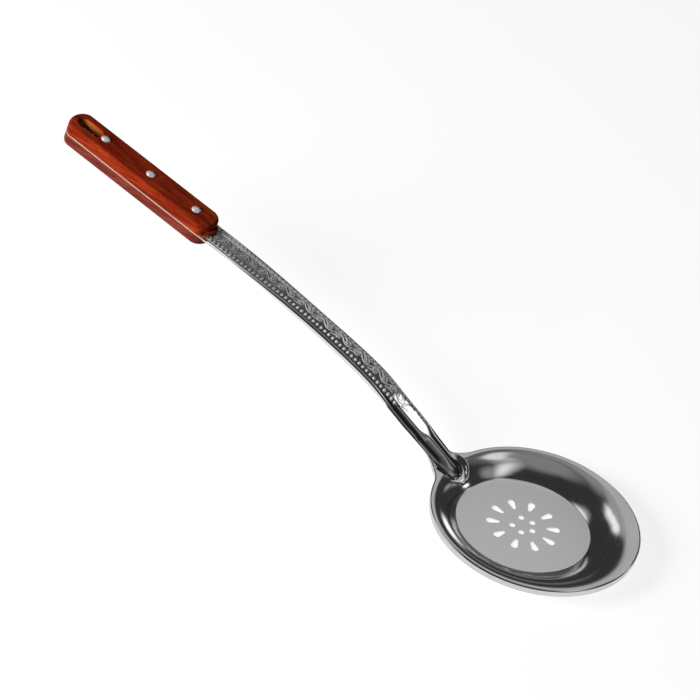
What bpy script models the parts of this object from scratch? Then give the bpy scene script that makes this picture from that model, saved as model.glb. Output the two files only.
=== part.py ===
"""Skimmer: a pressed and slotted steel bowl, a channel-section strap shank and a riveted wooden grip.

Metres, +Z up. The origin is the centre of the bowl's flat underside, and the grip points to -X.
"""

import math

import bmesh
import bpy
from mathutils import Matrix, Vector

for old_object in list(bpy.data.objects):
    bpy.data.objects.remove(old_object, do_unlink=True)

MM = 0.001

# Clearances
SEAT_GAP = 0.3 * MM
BORE_GAP = 0.3 * MM

# Bowl: the rim circle lies ahead of the floor circle, so the wall across from the grip is the long one
RIM_RADIUS = 70.2 * MM
RIM_FORWARD = 6.9 * MM
FLOOR_RADIUS = 44.8 * MM
BOWL_DEPTH = 12.0 * MM
BOWL_SHEET = 0.9 * MM
LIP_RISE = 1.0 * MM
WALL_CURVE = 1.85
EDGE_RADIUS = 1.2 * MM
EDGE_TURN = 4.5 * MM

# Neck: a tongue drawn out of the bowl, with a round-ended pocket pressed into it for the shank
TONGUE_INSET = 3.0 * MM
TONGUE_REACH = 3.0 * MM
TONGUE_END_LENGTH = 5.0 * MM
TONGUE_TURN = 2.0 * MM
NECK_FILLET = 24.0 * MM
POCKET_HALF_WIDTH = 9.4 * MM
POCKET_LEAD = 1.0 * MM
POCKET_SPREAD = 4.0 * MM

# Openings in the floor
SLOT_COUNT = 10
SLOT_RING = 20.2 * MM
SLOT_LENGTH = 9.0 * MM
SLOT_OUTER_WIDTH = 4.8 * MM
SLOT_INNER_WIDTH = 2.4 * MM
HOLE_COUNT = 5
HOLE_RING = 7.4 * MM
HOLE_DIAMETER = 4.0 * MM
HOLE_WIDE_GAP = math.radians(94.0)

# Shank: its crown line runs from the tip in the bowl to the butt of the grip
SHANK_SHEET = 1.2 * MM
TIP_INSIDE = 12.0 * MM
NECK_HEIGHT = 2.6 * MM
NECK_SLOPE = math.radians(25.2)
MIDDLE_SLOPE = math.radians(14.8)
GRIP_SLOPE = math.radians(8.3)
NECK_RUN = 60.6 * MM
LOWER_BEND_RADIUS = 255.0 * MM
UPPER_BEND_RADIUS = 800.0 * MM
GRIP_LEAD = 38.3 * MM
FINGER_HALF_WIDTH = 8.0 * MM
FINGER_HALF_ANGLE = math.radians(42.0)
FINGER_LENGTH = 34.0 * MM
FINGER_BLEND = 16.0 * MM
TIP_ROUNDING = 8.0 * MM
STRAP_HALF_WIDTH = 10.4 * MM
NOSE_HALF_WIDTH = 8.1 * MM
STRAP_DEPTH = 3.5 * MM
STRAP_CORNER = 2.8 * MM
FLANGE_FADE = 105.0 * MM
FLANGE_END = 6.0 * MM
FLANGE_SPREAD = 2.1 * MM

# Grip
SCALE_LENGTH = 128.6 * MM
SCALE_WIDTH = 21.6 * MM
UPPER_SCALE_THICKNESS = 7.8 * MM
UPPER_SCALE_ROUNDING = 2.2 * MM
LOWER_SCALE_THICKNESS = 8.8 * MM
LOWER_SCALE_ROUNDING = 4.0 * MM
NOSE_LENGTH = 9.0 * MM
BUTT_LENGTH = 8.0 * MM
TANG_INSET = 0.2 * MM
TANG_END_CUT = 0.1 * MM
TOE_LENGTH = 2.5 * MM
TOE_HALF_WIDTH = 7.8 * MM
TOE_THICKNESS = 3.2 * MM
TOE_ROUNDING = 1.0 * MM
HANG_HOLE_FROM_BUTT = 15.5 * MM
HANG_HOLE_LENGTH = 20.0 * MM
HANG_HOLE_WIDTH = 9.0 * MM

# Rivets
FRONT_RIVET_FROM_NOSE = 17.2 * MM
RIVET_PITCH = 41.1 * MM
RIVET_SHAFT_RADIUS = 2.0 * MM
RIVET_HEAD_RADIUS = 3.3 * MM
RIVET_HEAD_HEIGHT = 1.3 * MM

# Facets
SMOOTH_ANGLE = math.radians(35.0)
RIM_STEPS = 26
FILLET_STEPS = 7
TONGUE_END_STEPS = 5
WALL_RINGS = 15
EDGE_STEPS = 3
SLOT_END_STEPS = 8
HOLE_STEPS = 16
SHANK_ACROSS = 16
SCALE_END_STEPS = 10
TOE_STEPS = 8
ROUNDING_SEGMENTS = 5
BORE_STEPS = 24
HANG_HOLE_END_STEPS = 12
HEAD_STEPS = 5

# Values that follow from the sizes above
LIP_RADIUS = RIM_RADIUS - EDGE_RADIUS
RIM_HEIGHT = BOWL_SHEET + BOWL_DEPTH
NECK_EDGE_X = RIM_FORWARD - RIM_RADIUS
TONGUE_HALF_WIDTH = STRAP_HALF_WIDTH - TONGUE_INSET
FINGER_DEPTH = STRAP_DEPTH - SHANK_SHEET * math.cos(FINGER_HALF_ANGLE)
LOWER_BEND_LENGTH = LOWER_BEND_RADIUS * (NECK_SLOPE - MIDDLE_SLOPE)
UPPER_BEND_LENGTH = UPPER_BEND_RADIUS * (MIDDLE_SLOPE - GRIP_SLOPE)
UPPER_FACE = SEAT_GAP + UPPER_SCALE_THICKNESS
LOWER_FACE = -SHANK_SHEET - SEAT_GAP - LOWER_SCALE_THICKNESS
NOSE_STATION = NECK_RUN + LOWER_BEND_LENGTH + UPPER_BEND_LENGTH + GRIP_LEAD
CUT_OVERRUN = 5.0 * MM

parts = bpy.data.collections.new("skimmer")
cutters = bpy.data.collections.new("cutters")
bpy.context.scene.collection.children.link(parts)
bpy.context.scene.collection.children.link(cutters)


def ease(value):
    """Smooth step from 0 to 1."""
    u = min(max(value, 0.0), 1.0)
    return u * u * (3.0 - 2.0 * u)


def mix(a, b, share):
    return a + (b - a) * share


def material(name, colour, metallic, roughness):
    result = bpy.data.materials.new(name)
    result.use_nodes = True
    shader = result.node_tree.nodes["Principled BSDF"]
    shader.inputs["Base Color"].default_value = (*colour, 1.0)
    shader.inputs["Metallic"].default_value = metallic
    shader.inputs["Roughness"].default_value = roughness
    return result


def new_object(name, mesh, collection, finish=None):
    result = bpy.data.objects.new(name, mesh)
    collection.objects.link(result)
    if finish:
        mesh.materials.append(finish)
    return result


def mesh_from(bm, name):
    mesh = bpy.data.meshes.new(name)
    bm.to_mesh(mesh)
    bm.free()
    mesh.shade_smooth()
    mesh.set_sharp_from_angle(angle=SMOOTH_ANGLE)
    return mesh


def hide_cutter(tool):
    tool.hide_render = True
    tool.display_type = "WIRE"
    return tool


def boolean(target, tool, operation):
    cut = target.modifiers.new(tool.name, "BOOLEAN")
    cut.operation = operation
    cut.solver = "EXACT"
    cut.object = tool


def add_prism(bm, outline, bottom, top):
    """Add a closed prism over a counter-clockwise outline."""
    low = [bm.verts.new((x, y, bottom)) for x, y in outline]
    high = [bm.verts.new((x, y, top)) for x, y in outline]
    count = len(outline)
    bm.faces.new(list(reversed(low)))
    bm.faces.new(high)
    for i in range(count):
        j = (i + 1) % count
        bm.faces.new((low[i], low[j], high[j], high[i]))


def circle_points(centre_x, centre_y, radius, steps):
    angles = [2.0 * math.pi * i / steps for i in range(steps)]
    return [(centre_x + radius * math.cos(a), centre_y + radius * math.sin(a)) for a in angles]


def stadium_points(centre_x, length, width, steps):
    """Round-ended slot outline along x, counter-clockwise."""
    radius = width / 2.0
    reach = length / 2.0 - radius
    points = []
    for side, start in ((1.0, -0.5 * math.pi), (-1.0, 0.5 * math.pi)):
        for i in range(steps + 1):
            a = start + math.pi * i / steps
            points.append((centre_x + side * reach + radius * math.cos(a), radius * math.sin(a)))
    return points


# Shank path

def shank_path(station):
    """Return x, z and slope of the crown line at a length measured from the tip."""
    x = NECK_EDGE_X + TIP_INSIDE
    z = RIM_HEIGHT + NECK_HEIGHT - TIP_INSIDE * math.tan(NECK_SLOPE)
    run = min(station, NECK_RUN)
    x -= run * math.cos(NECK_SLOPE)
    z += run * math.sin(NECK_SLOPE)
    left = station - run
    slope = NECK_SLOPE
    bends = ((LOWER_BEND_RADIUS, LOWER_BEND_LENGTH), (UPPER_BEND_RADIUS, UPPER_BEND_LENGTH))
    for radius, length in bends:
        arc = min(left, length)
        after = slope - arc / radius
        x -= radius * (math.sin(slope) - math.sin(after))
        z += radius * (math.cos(after) - math.cos(slope))
        slope = after
        left -= arc
    x -= left * math.cos(slope)
    z += left * math.sin(slope)
    return x, z, slope


# Bowl

def rim_reach(angle):
    """Distance from the floor centre to the lip circle in a direction."""
    across = RIM_FORWARD * math.sin(angle)
    return RIM_FORWARD * math.cos(angle) + math.sqrt(LIP_RADIUS ** 2 - across ** 2)


def wall_height(x, y):
    """Upper face of the plain dished bowl above its floor: steep at the fold, nearly level at the rim."""
    run = rim_reach(math.atan2(y, x)) - FLOOR_RADIUS
    share = min(max((math.hypot(x, y) - FLOOR_RADIUS) / run, 0.0), 1.0)
    return (BOWL_DEPTH - LIP_RISE) * (1.0 - (1.0 - share) ** WALL_CURVE) + LIP_RISE * share


def neck_height(x):
    """Seat of the shank along the neck, a straight ramp out of the floor."""
    tip_x, tip_z, slope = shank_path(0.0)
    seat_z = tip_z - (STRAP_DEPTH + SEAT_GAP) / math.cos(slope) - BOWL_SHEET
    foot_x = tip_x + seat_z / math.tan(slope)
    return max(foot_x - x, 0.0) * math.tan(slope)


def bowl_height(x, y):
    plain = wall_height(x, y)
    if x > 0.0:
        return BOWL_SHEET + plain
    pocket_centre = NECK_EDGE_X + TIP_INSIDE + POCKET_LEAD - POCKET_HALF_WIDTH
    from_axis = math.hypot(max(x - pocket_centre, 0.0), y)
    away = ease((from_axis - POCKET_HALF_WIDTH) / POCKET_SPREAD)
    return BOWL_SHEET + mix(neck_height(x), plain, away)


def lip_outline():
    """Inner line of the turned edge, from the front round to the tongue and back: place, normal and turn."""
    half_width = TONGUE_HALF_WIDTH - EDGE_RADIUS
    fillet = NECK_FILLET + EDGE_RADIUS
    fillet_y = half_width + fillet
    fillet_x = RIM_FORWARD - math.sqrt((LIP_RADIUS + fillet) ** 2 - fillet_y ** 2)
    turn = math.atan2(fillet_y, fillet_x - RIM_FORWARD)
    end_length = TONGUE_END_LENGTH - EDGE_RADIUS
    end_x = fillet_x - TONGUE_REACH
    half = []
    for i in range(RIM_STEPS + 1):
        a = turn * i / RIM_STEPS
        normal = (math.cos(a), math.sin(a))
        half.append((RIM_FORWARD + LIP_RADIUS * normal[0], LIP_RADIUS * normal[1], *normal, EDGE_TURN))
    for i in range(1, FILLET_STEPS + 1):
        a = mix(turn - math.pi, -0.5 * math.pi, i / FILLET_STEPS)
        normal = (-math.cos(a), -math.sin(a))
        edge = mix(EDGE_TURN, TONGUE_TURN, ease(i / FILLET_STEPS))
        half.append((fillet_x - fillet * normal[0], fillet_y - fillet * normal[1], *normal, edge))
    for i in range(TONGUE_END_STEPS + 1):
        a = 0.5 * math.pi * (1.0 + i / TONGUE_END_STEPS)
        normal = (math.cos(a), math.sin(a))
        half.append((end_x + end_length * normal[0], half_width * normal[1], *normal, TONGUE_TURN))
    other = [(x, -y, nx, -ny, edge) for x, y, nx, ny, edge in reversed(half[1:-1])]
    return half + other


def make_bowl(finish):
    outline = lip_outline()
    bm = bmesh.new()
    rings = []
    for k in range(WALL_RINGS + 1):
        share = k / WALL_RINGS
        ring = []
        for x, y, _, _, _ in outline:
            reach = math.hypot(x, y)
            foot = FLOOR_RADIUS / reach
            px = x * mix(foot, 1.0, share)
            py = y * mix(foot, 1.0, share)
            ring.append(bm.verts.new((px, py, bowl_height(px, py))))
        rings.append(ring)
    for k in range(1, EDGE_STEPS + 2):
        a = 0.5 * math.pi * min(k / EDGE_STEPS, 1.0)
        out = EDGE_RADIUS * math.sin(a)
        ring = []
        for x, y, nx, ny, edge in outline:
            drop = edge if k > EDGE_STEPS else EDGE_RADIUS * (1.0 - math.cos(a))
            ring.append(bm.verts.new((x + nx * out, y + ny * out, bowl_height(x, y) - drop)))
        rings.append(ring)
    bm.faces.new(rings[0])
    count = len(outline)
    for inner, outer in zip(rings, rings[1:]):
        for i in range(count):
            j = (i + 1) % count
            bm.faces.new((inner[i], outer[i], outer[j], inner[j]))
    bowl = new_object("bowl", mesh_from(bm, "bowl"), parts, finish)
    shell = bowl.modifiers.new("sheet", "SOLIDIFY")
    shell.thickness = BOWL_SHEET
    shell.offset = -1.0
    shell.use_even_offset = True
    boolean(bowl, floor_cutter(), "DIFFERENCE")
    return bowl


def teardrop_points(angle):
    """Slot outline with its wide round end outward, turned to an angle about the floor centre."""
    wide = SLOT_OUTER_WIDTH / 2.0
    narrow = SLOT_INNER_WIDTH / 2.0
    wide_at = SLOT_RING + SLOT_LENGTH / 2.0 - wide
    narrow_at = SLOT_RING - SLOT_LENGTH / 2.0 + narrow
    tangent = 0.5 * math.pi + math.asin((wide - narrow) / (wide_at - narrow_at))
    points = []
    for i in range(SLOT_END_STEPS + 1):
        a = mix(-tangent, tangent, i / SLOT_END_STEPS)
        points.append((wide_at + wide * math.cos(a), wide * math.sin(a)))
    for i in range(SLOT_END_STEPS + 1):
        a = mix(tangent, 2.0 * math.pi - tangent, i / SLOT_END_STEPS)
        points.append((narrow_at + narrow * math.cos(a), narrow * math.sin(a)))
    c, s = math.cos(angle), math.sin(angle)
    return [(x * c - y * s, x * s + y * c) for x, y in points]


def floor_cutter():
    bm = bmesh.new()
    bottom = -CUT_OVERRUN
    top = BOWL_SHEET + CUT_OVERRUN
    for i in range(SLOT_COUNT):
        angle = math.pi + 2.0 * math.pi * i / SLOT_COUNT
        add_prism(bm, teardrop_points(angle), bottom, top)
    spacing = (2.0 * math.pi - HOLE_WIDE_GAP) / (HOLE_COUNT - 1)
    for i in range(HOLE_COUNT):
        angle = math.pi + HOLE_WIDE_GAP / 2.0 + spacing * i
        centre = (HOLE_RING * math.cos(angle), HOLE_RING * math.sin(angle))
        add_prism(bm, circle_points(*centre, HOLE_DIAMETER / 2.0, HOLE_STEPS), bottom, top)
    return hide_cutter(new_object("floor_cutter", mesh_from(bm, "floor_cutter"), cutters))


# Shank

def tang_half_width(along):
    """Half width of the tang at a length from the nose of the scales: just inside them, round at the butt."""
    half = SCALE_WIDTH / 2.0
    past = along - (SCALE_LENGTH - BUTT_LENGTH)
    if past > 0.0:
        half *= math.sqrt(max(1.0 - (past / BUTT_LENGTH) ** 2, 0.0))
    return half - TANG_INSET


def finger_section(v):
    """Circular arch: sideways and downward shares for v from -1 to 1."""
    a = FINGER_HALF_ANGLE * v
    side = math.sin(a) / math.sin(FINGER_HALF_ANGLE)
    return side, (1.0 - math.cos(a)) / (1.0 - math.cos(FINGER_HALF_ANGLE))


def flange_share(station):
    """How much of the flange depth is left: all of it along the strap, none at the grip."""
    return ease((NOSE_STATION - station - FLANGE_END) / (FLANGE_FADE - FLANGE_END))


def strap_half_width(station):
    """Half width of the shank, which narrows from the neck and spreads where the flanges flatten out."""
    widest = FINGER_LENGTH + FINGER_BLEND
    if station < widest:
        return mix(FINGER_HALF_WIDTH, STRAP_HALF_WIDTH, station / widest)
    along = min((station - widest) / (NOSE_STATION - widest), 1.0)
    return mix(STRAP_HALF_WIDTH, NOSE_HALF_WIDTH, along) + FLANGE_SPREAD * (1.0 - flange_share(station))


def strap_section(v, half_width):
    """Flat-topped channel with round corners: sideways and downward shares for v from -1 to 1."""
    flat = half_width - STRAP_CORNER
    corner = 0.5 * math.pi * STRAP_CORNER
    flange = STRAP_DEPTH - STRAP_CORNER
    walk = abs(v) * (flat + corner + flange)
    if walk <= flat:
        side, drop = walk, 0.0
    elif walk <= flat + corner:
        a = (walk - flat) / STRAP_CORNER
        side = flat + STRAP_CORNER * math.sin(a)
        drop = STRAP_CORNER * (1.0 - math.cos(a))
    else:
        side, drop = half_width, walk - flat - corner + STRAP_CORNER
    return math.copysign(side, v) / half_width, drop / STRAP_DEPTH


def shank_stations():
    """Lengths from the tip at which the shank has a section, close together where its form changes."""
    fade_start = NOSE_STATION - FLANGE_FADE
    fade_end = NOSE_STATION - FLANGE_END
    stations = []
    tip_steps = 8
    for i in range(1, tip_steps + 1):
        stations.append(TIP_ROUNDING * (1.0 - math.cos(0.5 * math.pi * i / tip_steps)))

    def run_to(end, steps):
        start = stations[-1]
        stations.extend(mix(start, end, (i + 1) / steps) for i in range(steps))

    run_to(FINGER_LENGTH, 6)
    run_to(FINGER_LENGTH + FINGER_BLEND, 5)
    run_to(fade_start, 10)
    run_to(fade_end, 14)
    run_to(NOSE_STATION, 1)
    round_steps = 6
    for i in range(1, round_steps + 1):
        stations.append(NOSE_STATION + NOSE_LENGTH * (1.0 - math.cos(0.5 * math.pi * i / round_steps)))
    run_to(NOSE_STATION + SCALE_LENGTH - BUTT_LENGTH, 2)
    butt = stations[-1]
    for i in range(1, round_steps + 1):
        stations.append(butt + (BUTT_LENGTH - TANG_END_CUT) * math.sin(0.5 * math.pi * i / round_steps))
    return stations


def shank_section(station, v):
    """Point of the upper face at a station and a share v across the width."""
    channel = ease((station - FINGER_LENGTH) / FINGER_BLEND)
    round_off = min(station / TIP_ROUNDING, 1.0)
    tip = math.sqrt(1.0 - (1.0 - round_off) ** 2)
    strap_half = strap_half_width(station)
    half = strap_half * tip
    along = station - NOSE_STATION
    if along > 0.0:
        half = mix(strap_half, tang_half_width(along), ease(along / NOSE_LENGTH))
    finger_side, finger_drop = finger_section(v)
    strap_side, strap_drop = strap_section(v, strap_half)
    side = mix(finger_side, strap_side, channel)
    drop = mix(FINGER_DEPTH * tip * finger_drop, STRAP_DEPTH * flange_share(station) * strap_drop, channel)
    drop += (STRAP_DEPTH - SHANK_SHEET) * (1.0 - tip)
    x, z, slope = shank_path(station)
    return x - drop * math.sin(slope), half * side, z - drop * math.cos(slope)


def make_shank(finish, holes):
    bm = bmesh.new()
    shares = [2.0 * i / SHANK_ACROSS - 1.0 for i in range(SHANK_ACROSS + 1)]
    rows = [[bm.verts.new(shank_section(station, v)) for v in shares] for station in shank_stations()]
    for near, far in zip(rows, rows[1:]):
        for i in range(SHANK_ACROSS):
            bm.faces.new((near[i], near[i + 1], far[i + 1], far[i]))
    shank = new_object("shank", mesh_from(bm, "shank"), parts, finish)
    sheet = shank.modifiers.new("sheet", "SOLIDIFY")
    sheet.thickness = SHANK_SHEET
    sheet.offset = -1.0
    sheet.use_even_offset = True
    boolean(shank, holes, "DIFFERENCE")
    return shank


# Grip, in a frame on the crown line at the nose of the scales, x towards the butt and z out of the top

def make_grip_frame():
    x, z, slope = shank_path(NOSE_STATION)
    grip = bpy.data.objects.new("grip", None)
    parts.objects.link(grip)
    along = Vector((-math.cos(slope), 0.0, math.sin(slope)))
    up = Vector((math.sin(slope), 0.0, math.cos(slope)))
    across = up.cross(along)
    turn = Matrix((along, across, up)).transposed()
    grip.matrix_world = Matrix.Translation((x, 0.0, z)) @ turn.to_4x4()
    return grip


def scale_outline(inset):
    """Plan of a grip scale drawn in by an inset, counter-clockwise from its nose."""
    half = SCALE_WIDTH / 2.0 - inset
    nose = NOSE_LENGTH - inset
    butt = BUTT_LENGTH - inset
    quarter = [0.5 * math.pi * i / SCALE_END_STEPS for i in range(SCALE_END_STEPS + 1)]
    lower = [(NOSE_LENGTH - nose * math.cos(a), -half * math.sin(a)) for a in quarter]
    lower += [(SCALE_LENGTH - BUTT_LENGTH + butt * math.sin(a), -half * math.cos(a)) for a in quarter]
    upper = [(x, -y) for x, y in reversed(lower[1:-1])]
    return lower + upper


def toe_outline(inset):
    """Plan of the low lip in front of the upper scale, which runs back under the scale's nose."""
    centre = NOSE_LENGTH - TOE_LENGTH
    half = TOE_HALF_WIDTH - inset
    front = []
    for i in range(TOE_STEPS + 1):
        a = math.pi * (0.5 + i / TOE_STEPS)
        front.append((centre + (NOSE_LENGTH - inset) * math.cos(a), half * math.sin(a)))
    return front + [(NOSE_LENGTH - inset, -half), (NOSE_LENGTH - inset, half)]


def rounded_prism(name, outline, height, rounding):
    """Prism over a plan, with the edge of its top face rounded."""
    levels = [(0.0, 0.0)]
    for i in range(ROUNDING_SEGMENTS + 1):
        a = 0.5 * math.pi * i / ROUNDING_SEGMENTS
        levels.append((rounding * (1.0 - math.cos(a)), height - rounding * (1.0 - math.sin(a))))
    bm = bmesh.new()
    rings = [[bm.verts.new((x, y, z)) for x, y in outline(inset)] for inset, z in levels]
    count = len(rings[0])
    bm.faces.new(list(reversed(rings[0])))
    bm.faces.new(rings[-1])
    for low, high in zip(rings, rings[1:]):
        for i in range(count):
            j = (i + 1) % count
            bm.faces.new((low[i], low[j], high[j], high[i]))
    return mesh_from(bm, name)


def make_upper_scale(finish, grip, holes):
    body = rounded_prism("upper_scale", scale_outline, UPPER_SCALE_THICKNESS, UPPER_SCALE_ROUNDING)
    scale = new_object("upper_scale", body, parts, finish)
    scale.parent = grip
    scale.location.z = SEAT_GAP
    toe_mesh = rounded_prism("toe", toe_outline, TOE_THICKNESS, TOE_ROUNDING)
    toe = hide_cutter(new_object("toe", toe_mesh, cutters))
    toe.parent = grip
    toe.location.z = SEAT_GAP
    boolean(scale, toe, "UNION")
    boolean(scale, holes, "DIFFERENCE")
    return scale


def make_lower_scale(finish, grip, holes):
    body = rounded_prism("lower_scale", scale_outline, LOWER_SCALE_THICKNESS, LOWER_SCALE_ROUNDING)
    scale = new_object("lower_scale", body, parts, finish)
    scale.parent = grip
    scale.rotation_euler.x = math.pi
    scale.location.z = -SHANK_SHEET - SEAT_GAP
    boolean(scale, holes, "DIFFERENCE")
    return scale


def rivet_stations():
    return [FRONT_RIVET_FROM_NOSE + RIVET_PITCH * i for i in range(3)]


def make_grip_holes(grip):
    """Cutter for the rivet bores and the hanging hole, right through the grip."""
    bm = bmesh.new()
    top = UPPER_FACE + CUT_OVERRUN
    bottom = LOWER_FACE - CUT_OVERRUN
    for along in rivet_stations():
        add_prism(bm, circle_points(along, 0.0, RIVET_SHAFT_RADIUS + BORE_GAP, BORE_STEPS), bottom, top)
    centre = SCALE_LENGTH - HANG_HOLE_FROM_BUTT
    hang_hole = stadium_points(centre, HANG_HOLE_LENGTH, HANG_HOLE_WIDTH, HANG_HOLE_END_STEPS)
    add_prism(bm, hang_hole, bottom, top)
    tool = hide_cutter(new_object("grip_holes", mesh_from(bm, "grip_holes"), cutters))
    tool.parent = grip
    return tool


def rivet_profile():
    """Outer side of a rivet with a domed head at each end, from top to bottom."""
    crown = (RIVET_HEAD_RADIUS ** 2 + RIVET_HEAD_HEIGHT ** 2) / (2.0 * RIVET_HEAD_HEIGHT)
    sweep = math.asin(RIVET_HEAD_RADIUS / crown)
    head = []
    for i in range(HEAD_STEPS + 1):
        a = sweep * i / HEAD_STEPS
        head.append((crown * math.sin(a), RIVET_HEAD_HEIGHT - crown * (1.0 - math.cos(a))))
    head.append((RIVET_SHAFT_RADIUS, 0.0))
    top = [(r, UPPER_FACE + SEAT_GAP + z) for r, z in head]
    return top + [(r, LOWER_FACE - SEAT_GAP - z) for r, z in reversed(head)]


def make_rivet(name, along, finish, grip):
    mesh = bpy.data.meshes.new(name)
    profile = rivet_profile()
    points = [(r, 0.0, z) for r, z in profile]
    mesh.from_pydata(points, [(i, i + 1) for i in range(len(points) - 1)], [])
    rivet = new_object(name, mesh, parts, finish)
    rivet.parent = grip
    rivet.location.x = along
    spin = rivet.modifiers.new("turn", "SCREW")
    spin.axis = "Z"
    spin.steps = BORE_STEPS
    spin.render_steps = BORE_STEPS
    spin.use_merge_vertices = True
    spin.merge_threshold = 0.00001
    spin.use_smooth_shade = True
    return rivet


make_bowl(material("bowl_steel", (0.62, 0.62, 0.61), 1.0, 0.22))
grip_frame = make_grip_frame()
grip_holes = make_grip_holes(grip_frame)
make_shank(material("shank_steel", (0.66, 0.66, 0.65), 1.0, 0.25), grip_holes)
make_upper_scale(material("upper_wood", (0.16, 0.018, 0.01), 0.0, 0.3), grip_frame, grip_holes)
make_lower_scale(material("lower_wood", (0.18, 0.02, 0.011), 0.0, 0.3), grip_frame, grip_holes)
for rivet_name, rivet_along in zip(("rivet_front", "rivet_middle", "rivet_rear"), rivet_stations()):
    make_rivet(rivet_name, rivet_along, material(rivet_name, (0.7, 0.7, 0.7), 1.0, 0.3), grip_frame)
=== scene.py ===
"""Skimmer on a white table: a pressed bowl, an embossed strap shank and a riveted wooden grip."""

import math

import bmesh
import bpy
import numpy as np
from mathutils import Matrix, Vector


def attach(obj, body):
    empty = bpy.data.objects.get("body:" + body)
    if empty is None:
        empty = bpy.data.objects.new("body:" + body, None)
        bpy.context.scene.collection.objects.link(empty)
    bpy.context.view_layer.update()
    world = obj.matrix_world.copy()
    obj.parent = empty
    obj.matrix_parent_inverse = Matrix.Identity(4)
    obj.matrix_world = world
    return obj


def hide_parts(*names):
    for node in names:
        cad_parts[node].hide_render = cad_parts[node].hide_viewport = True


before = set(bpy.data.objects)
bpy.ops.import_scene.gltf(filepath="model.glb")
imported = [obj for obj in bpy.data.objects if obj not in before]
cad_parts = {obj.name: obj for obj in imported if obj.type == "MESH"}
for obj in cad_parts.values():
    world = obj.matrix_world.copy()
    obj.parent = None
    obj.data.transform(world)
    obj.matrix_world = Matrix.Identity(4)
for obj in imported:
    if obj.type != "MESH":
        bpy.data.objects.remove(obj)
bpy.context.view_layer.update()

MM = 0.001

# Bowl, as in the frame apart from a tighter pocket, a soft fold and rounded cuts
RIM_RADIUS = 70.2 * MM
RIM_FORWARD = 6.9 * MM
FLOOR_RADIUS = 44.8 * MM
BOWL_DEPTH = 12.0 * MM
BOWL_SHEET = 0.9 * MM
LIP_RISE = 1.0 * MM
WALL_CURVE = 1.85
FLOOR_FOLD = 0.4 * MM
EDGE_RADIUS = 1.2 * MM
EDGE_TURN = 4.5 * MM
TONGUE_TURN = 2.0 * MM
TONGUE_INSET = 3.0 * MM
TONGUE_REACH = 3.0 * MM
TONGUE_END_LENGTH = 5.0 * MM
NECK_FILLET = 24.0 * MM
POCKET_HALF_WIDTH = 8.9 * MM
POCKET_LEAD = 0.6 * MM
POCKET_SPREAD = 3.4 * MM
SLOT_COUNT = 10
SLOT_RING = 20.2 * MM
SLOT_LENGTH = 9.0 * MM
SLOT_OUTER_WIDTH = 4.8 * MM
SLOT_INNER_WIDTH = 2.4 * MM
HOLE_COUNT = 5
HOLE_RING = 7.4 * MM
HOLE_DIAMETER = 4.0 * MM
HOLE_WIDE_GAP = math.radians(94.0)
CUT_EDGE = 0.15 * MM

# Shank, as in the frame
SEAT_GAP = 0.3 * MM
SHANK_SHEET = 1.2 * MM
TIP_INSIDE = 12.0 * MM
NECK_HEIGHT = 2.6 * MM
NECK_SLOPE = math.radians(25.2)
MIDDLE_SLOPE = math.radians(14.8)
GRIP_SLOPE = math.radians(8.3)
NECK_RUN = 60.6 * MM
LOWER_BEND_RADIUS = 255.0 * MM
UPPER_BEND_RADIUS = 800.0 * MM
GRIP_LEAD = 38.3 * MM
FINGER_HALF_WIDTH = 8.0 * MM
FINGER_HALF_ANGLE = math.radians(42.0)
FINGER_LENGTH = 34.0 * MM
FINGER_BLEND = 16.0 * MM
TIP_ROUNDING = 8.0 * MM
STRAP_HALF_WIDTH = 10.4 * MM
NOSE_HALF_WIDTH = 8.1 * MM
STRAP_DEPTH = 3.5 * MM
FLANGE_FADE = 105.0 * MM
FLANGE_END = 6.0 * MM
FLANGE_SPREAD = 2.1 * MM

# Pressing of the shank, finer than in the frame
PRESSED_CORNER = 1.4 * MM
FINGER_CROWN = 2.7 * MM
NECK_CROWN = 2.2 * MM
STRAP_CROWN = 0.3 * MM
FINGER_CURVE = 2.0
STRAP_CURVE = 6.0
FLANGE_FLARE = 0.6 * MM
CHANNEL_FROM = 10.0 * MM
CHANNEL_BLEND = 10.0 * MM
PANEL_FROM = 32.0 * MM
PANEL_BLEND = 10.0 * MM
CROWN_FROM = 58.0 * MM
CROWN_FADE = 30.0 * MM

# Embossing of the shank, with BEAD_ZONE and SCROLL_FROM_BEADS in bead widths
ORNAMENT_START = 60.0 * MM
FAR_BEAD_START = 36.0 * MM
ORNAMENT_FADE = 5.0 * MM
ORNAMENT_END_FADE = 1.0 * MM
ORNAMENT_HOLLOW = 7.0 * MM
BEAD_PITCH = 3.5 * MM
BEAD_LENGTH = 1.4 * MM
BEAD_WIDTH = 1.8 * MM
BEAD_HEIGHT = 1.0 * MM
BEAD_ZONE = 1.2
BEAD_FROM_EDGE = 4.6 * MM
FAR_BEAD_FROM_EDGE = 2.9 * MM
FAR_BEAD_SHARE = 0.5
RIDGE_START = 208.0 * MM
RIDGE_FADE = 6.0 * MM
RIDGE_FROM_BEADS = 1.75 * MM
RIDGE_LINE = 0.3 * MM
RIDGE_HEIGHT = 0.4 * MM
SCROLL_FROM_FAR_EDGE = 4.2 * MM
SCROLL_FROM_BEADS = 1.1
SCROLL_PITCH = 17.0 * MM
SCROLL_HALF_WIDTH = 3.9 * MM
SCROLL_LINE = 0.6 * MM
SCROLL_HEIGHT = 0.75 * MM
FAINT_SCROLL_START = 43.0 * MM
FAINT_SCROLL_FADE = 10.0 * MM
FAINT_SCROLL_SHARE = 0.1

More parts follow.
